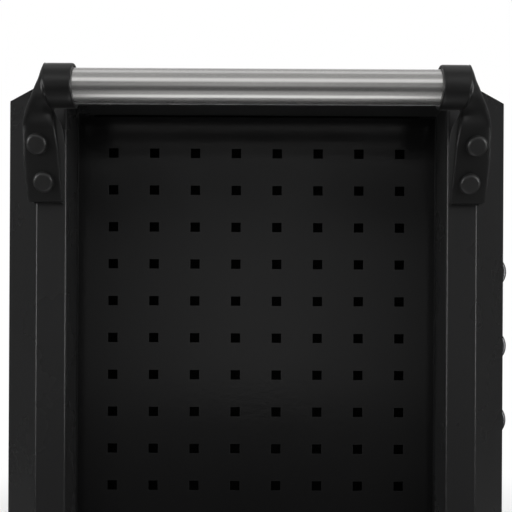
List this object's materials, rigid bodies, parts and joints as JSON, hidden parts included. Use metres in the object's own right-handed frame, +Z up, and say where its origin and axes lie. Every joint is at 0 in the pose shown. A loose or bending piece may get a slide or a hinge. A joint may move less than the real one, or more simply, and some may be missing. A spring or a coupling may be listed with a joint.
{
  "type": "rolling tool cabinet",
  "caption": "Black sheet-metal rolling tool cabinet with sloping corners, recessed perforated sides, sliding drawers, a tubular side handle, a top tray and braked casters.",
  "frame": {"origin": "on the floor, under the middle of the whole object's extent", "axes": "+Z up, the drawer fronts face -Y, the handle is on -X"},
  "size_m": [0.7447, 0.4874, 0.9193],
  "materials": {
    "body_coat": "fine powder coat",
    "panel_coat": "textured powder coat",
    "moulding": "matte",
    "bare_steel": "satin",
    "zinc": "zinc plated",
    "pull": "grey satin",
    "rubber": "matte"
  },
  "bodies": {
    "cabinet": {"post_front_left": "body_coat", "post_front_right": "body_coat", "post_rear_left": "body_coat", "post_rear_right": "body_coat", "pegboard_left": "panel_coat", "pegboard_right": "panel_coat", "back_panel": "body_coat", "top_tray": "body_coat", "top_mat": "rubber", "base_pan": "body_coat", "header_panel": "body_coat", "slide_rack_left": "zinc", "slide_rack_right": "zinc", "handle_bracket_front": "moulding", "handle_bracket_rear": "moulding", "handle_tube": "bare_steel", "handle_bolt_front_upper": "moulding", "handle_bolt_front_lower": "moulding", "handle_bolt_rear_upper": "moulding", "handle_bolt_rear_lower": "moulding", "caster_front_left_plate": "zinc", "caster_rear_left_plate": "zinc", "caster_front_right_fork": "zinc", "caster_rear_right_fork": "zinc", "caster_front_right_axle": "zinc", "caster_rear_right_axle": "zinc"},
    "lock": {"lock_barrel": "bare_steel"},
    "drawer_1": {"drawer_1": "body_coat", "drawer_1_pull": "pull"},
    "slides_1": {"drawer_1_slide_left": "zinc", "drawer_1_slide_right": "zinc"},
    "drawer_2": {"drawer_2": "body_coat", "drawer_2_pull": "pull"},
    "slides_2": {"drawer_2_slide_left": "zinc", "drawer_2_slide_right": "zinc"},
    "drawer_3": {"drawer_3": "body_coat", "drawer_3_pull": "pull"},
    "slides_3": {"drawer_3_slide_left": "zinc", "drawer_3_slide_right": "zinc"},
    "drawer_4": {"drawer_4": "body_coat", "drawer_4_pull": "pull"},
    "slides_4": {"drawer_4_slide_left": "zinc", "drawer_4_slide_right": "zinc"},
    "drawer_5": {"drawer_5": "body_coat", "drawer_5_pull": "pull"},
    "slides_5": {"drawer_5_slide_left": "zinc", "drawer_5_slide_right": "zinc"},
    "swivel_front": {"caster_front_left_fork": "zinc", "caster_front_left_axle": "zinc"},
    "wheel_front_left": {"caster_front_left_wheel": "rubber"},
    "brake_front": {"caster_front_left_pedal": "moulding"},
    "wheel_front_right": {"caster_front_right_wheel": "rubber"},
    "swivel_rear": {"caster_rear_left_fork": "zinc", "caster_rear_left_axle": "zinc"},
    "wheel_rear_left": {"caster_rear_left_wheel": "rubber"},
    "brake_rear": {"caster_rear_left_pedal": "moulding"},
    "wheel_rear_right": {"caster_rear_right_wheel": "rubber"}
  },
  "joints": [
    {"name": "drawer_1_travel", "type": "slide", "parent": "cabinet", "child": "drawer_1", "axis": [0, -1, 0], "range_m": [0, 0.38]},
    {"name": "slides_1_travel", "type": "slide", "parent": "cabinet", "child": "slides_1", "axis": [0, -1, 0], "range_m": [0, 0.19]},
    {"name": "drawer_2_travel", "type": "slide", "parent": "cabinet", "child": "drawer_2", "axis": [0, -1, 0], "range_m": [0, 0.38]},
    {"name": "slides_2_travel", "type": "slide", "parent": "cabinet", "child": "slides_2", "axis": [0, -1, 0], "range_m": [0, 0.19]},
    {"name": "drawer_3_travel", "type": "slide", "parent": "cabinet", "child": "drawer_3", "axis": [0, -1, 0], "range_m": [0, 0.38]},
    {"name": "slides_3_travel", "type": "slide", "parent": "cabinet", "child": "slides_3", "axis": [0, -1, 0], "range_m": [0, 0.19]},
    {"name": "drawer_4_travel", "type": "slide", "parent": "cabinet", "child": "drawer_4", "axis": [0, -1, 0], "range_m": [0, 0.38]},
    {"name": "slides_4_travel", "type": "slide", "parent": "cabinet", "child": "slides_4", "axis": [0, -1, 0], "range_m": [0, 0.19]},
    {"name": "drawer_5_travel", "type": "slide", "parent": "cabinet", "child": "drawer_5", "axis": [0, -1, 0], "range_m": [0, 0.38]},
    {"name": "slides_5_travel", "type": "slide", "parent": "cabinet", "child": "slides_5", "axis": [0, -1, 0], "range_m": [0, 0.19]},
    {"name": "swivel_front_turn", "type": "hinge", "parent": "cabinet", "child": "swivel_front", "pos_m": [-0.2275, -0.15735, 0.14], "axis": [0, 0, 1], "continuous": true},
    {"name": "wheel_front_left_spin", "type": "hinge", "parent": "swivel_front", "child": "wheel_front_left", "pos_m": [-0.1925, -0.15735, 0.06173], "axis": [0, 1, 0], "continuous": true},
    {"name": "brake_front_press", "type": "hinge", "parent": "swivel_front", "child": "brake_front", "pos_m": [-0.1445, -0.15735, 0.12573], "axis": [0, 1, 0], "range_deg": [0, 18]},
    {"name": "wheel_front_right_spin", "type": "hinge", "parent": "cabinet", "child": "wheel_front_right", "pos_m": [0.2925, -0.15735, 0.06173], "axis": [0, 1, 0], "continuous": true},
    {"name": "swivel_rear_turn", "type": "hinge", "parent": "cabinet", "child": "swivel_rear", "pos_m": [-0.2275, 0.17765, 0.14], "axis": [0, 0, 1], "continuous": true},
    {"name": "wheel_rear_left_spin", "type": "hinge", "parent": "swivel_rear", "child": "wheel_rear_left", "pos_m": [-0.1925, 0.17765, 0.06173], "axis": [0, 1, 0], "continuous": true},
    {"name": "brake_rear_press", "type": "hinge", "parent": "swivel_rear", "child": "brake_rear", "pos_m": [-0.1445, 0.17765, 0.12573], "axis": [0, 1, 0], "range_deg": [0, 18]},
    {"name": "wheel_rear_right_spin", "type": "hinge", "parent": "cabinet", "child": "wheel_rear_right", "pos_m": [0.2925, 0.17765, 0.06173], "axis": [0, 1, 0], "continuous": true},
    {"name": "lock_turn", "type": "hinge", "parent": "cabinet", "child": "lock", "pos_m": [0.2425, -0.22335, 0.843], "axis": [0, 1, 0], "range_deg": [0, 90]}
  ],
  "couplings": [
    {"joint": "slides_1_travel", "follows": "drawer_1_travel", "ratio": 0.5},
    {"joint": "slides_2_travel", "follows": "drawer_2_travel", "ratio": 0.5},
    {"joint": "slides_3_travel", "follows": "drawer_3_travel", "ratio": 0.5},
    {"joint": "slides_4_travel", "follows": "drawer_4_travel", "ratio": 0.5},
    {"joint": "slides_5_travel", "follows": "drawer_5_travel", "ratio": 0.5}
  ]
}
